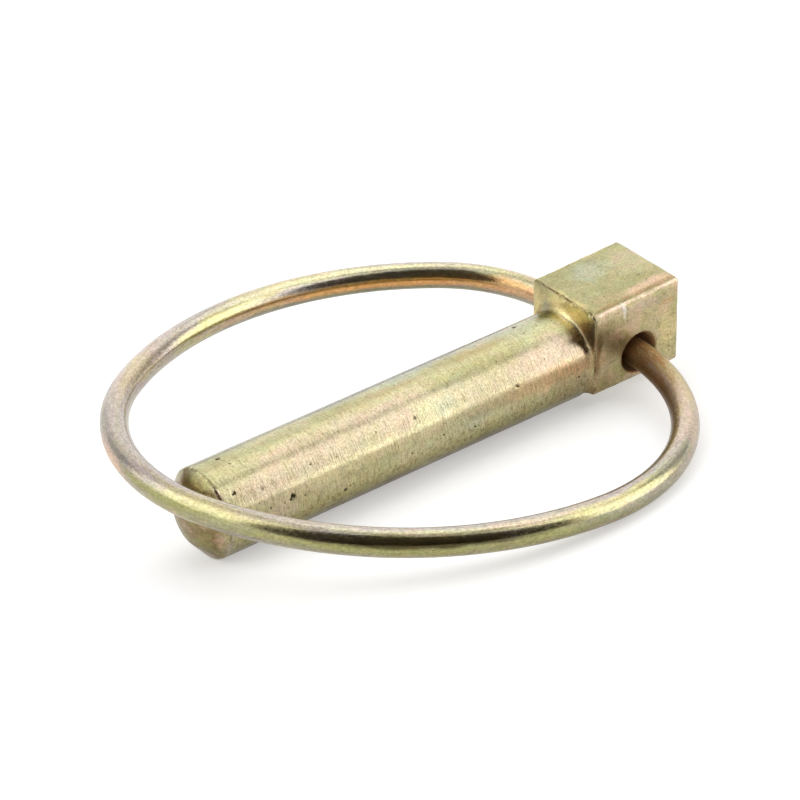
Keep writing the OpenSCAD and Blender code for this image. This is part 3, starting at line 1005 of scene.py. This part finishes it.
tent = Finish(bpy.data.worlds.new("tent"))
bpy.context.scene.world = tent.owner
looking = tent.add("ShaderNodeTexCoord", {}, "Generated")
print("bearing 90 looks along", [round(v, 2) for v in toward(90, 0)])


# %% One soft-edged panel
def panel(bearing, height, wide, high, soft, round_edge=False):
    """1 inside a soft-edged panel that hangs in this direction, with half sizes in degrees."""
    ahead, side, up = (tent.vector("DOT_PRODUCT", looking, tuple(axis), "Value")
                       for axis in (toward(bearing, 0), toward(bearing + 90, 0), (0, 0, 1)))
    off_bearing = tent.maths("ABSOLUTE", tent.maths("ARCTAN2", side, ahead))
    off_height = tent.maths("SUBTRACT", tent.maths("ARCSINE", up), math.radians(height))
    off_height = tent.maths("ABSOLUTE", off_height)
    wide, high, soft = (math.radians(v) for v in (wide, high, soft))
    if round_edge:
        across = tent.maths("POWER", tent.maths("DIVIDE", off_bearing, wide), 2)
        upward = tent.maths("POWER", tent.maths("DIVIDE", off_height, high), 2)
        edge = 2 * soft / high
        return tent.step(tent.maths("ADD", across, upward), 1 + edge, 1 - edge)
    return tent.times(tent.step(off_bearing, wide + soft, wide - soft),
                      tent.step(off_height, high + soft, high - soft))


print("tent so far:", len(tent.tree.nodes), "nodes")

# %% Hang the panels, and open the tent on the viewer's side
TENT_WALL = 1.1
NEUTRAL, WARM = (1, 1, 1), (1, 0.85, 0.6)
# Each panel has a name, a brightness and a hue. It hangs at a bearing and a height, with
# half its width, half its height and the softness of its edge, all in degrees.
PANELS = [
    ("back wall", 1.5, NEUTRAL, (-130, 20, 30, 27, 6)),
    ("right roof", 1.85, NEUTRAL, (-24, 52, 38, 27, 6)),
    ("top gap", 0.6, NEUTRAL, (140, 76, 34, 11, 5)),
    ("back roof", 1.9, NEUTRAL, (-165, 58, 35, 13, 4)),
    ("left wall", 2.15, NEUTRAL, (139, 17, 24, 22, 3)),
    ("left roof", 1.95, NEUTRAL, (132, 46, 18, 11, 3)),
    ("right gap", 0.6, NEUTRAL, (-68, 32, 12, 16, 6)),
    ("left gap", 0.6, NEUTRAL, (174, 28, 9, 18, 4)),
    ("opening", 0.08, WARM, (66, 32, 52, 46, 4, True)),
]
shade = (TENT_WALL,) * 3
for name, brightness, hue, hung in PANELS:
    shade = tent.mix(panel(*hung), shade, tuple(brightness * part for part in hue))
    print(name, "hung at bearing", hung[0])

# %% Keep the background plain where it is seen directly
seen = tent.add("ShaderNodeLightPath", {}, "Is Camera Ray")
shade = tent.mix(seen, shade, (0.95, 0.95, 0.95))
tent.give(Color=shade)
print("tent drawn in", len(tent.tree.nodes), "nodes")

# %% [markdown]
# ## The camera
# A long lens from above the near side, as for a catalogue, keeps the square head from
# looking tapered. A track-to constraint could aim it, but not with the slight twist that
# a hand-set camera has. The three directions of its stand are worked out instead, in the
# pin's own frame, and laid down with it.

# %% Work out the camera's three directions
# In degrees. The azimuth is 0 from the far side, 90 from the tip and 180 from the near side.
AZIMUTH, ELEVATION, TWIST = (math.radians(v) for v in (143.05, 33.27, -1.41))

back = Vector((math.sin(AZIMUTH) * math.cos(ELEVATION),
               -math.cos(AZIMUTH) * math.cos(ELEVATION), math.sin(ELEVATION)))
level = Vector((0, 0, 1)).cross(back).normalized()
right = math.cos(TWIST) * level + math.sin(TWIST) * back.cross(level)
over = back.cross(right)
print("the camera looks along", [round(-v, 2) for v in back])

# %% Set the camera on its stand
AIM = Vector((15.63, -8.56, -3.90))
DISTANCE = 359.19

lens = bpy.data.cameras.new("catalogue_lens")
lens.lens = 150.1
lens.sensor_width = 36
camera = bpy.data.objects.new("catalogue_camera", lens)
bpy.context.scene.collection.objects.link(camera)
facing = Matrix((right, over, back)).transposed().to_4x4()
stand = Matrix.Translation((AIM + DISTANCE * back) * MM) @ facing
camera.matrix_world = lay_down @ stand
bpy.context.scene.camera = camera
bpy.context.scene.view_settings.view_transform = "Standard"
print("camera at", [round(v / MM, 1) for v in camera.matrix_world.translation], "mm")

# %% [markdown]
# ## Measure the size, and finish
# Rubbing, pressing and waving must not change the object's size. A look at the picture
# wouldn't show a tenth of a millimetre, so the finished pieces are measured, and both
# boxes are printed.

# %% Write the sizes down and finish
low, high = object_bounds()
print("finished box in mm", [round(v / MM, 2) for v in (*low, *high)])
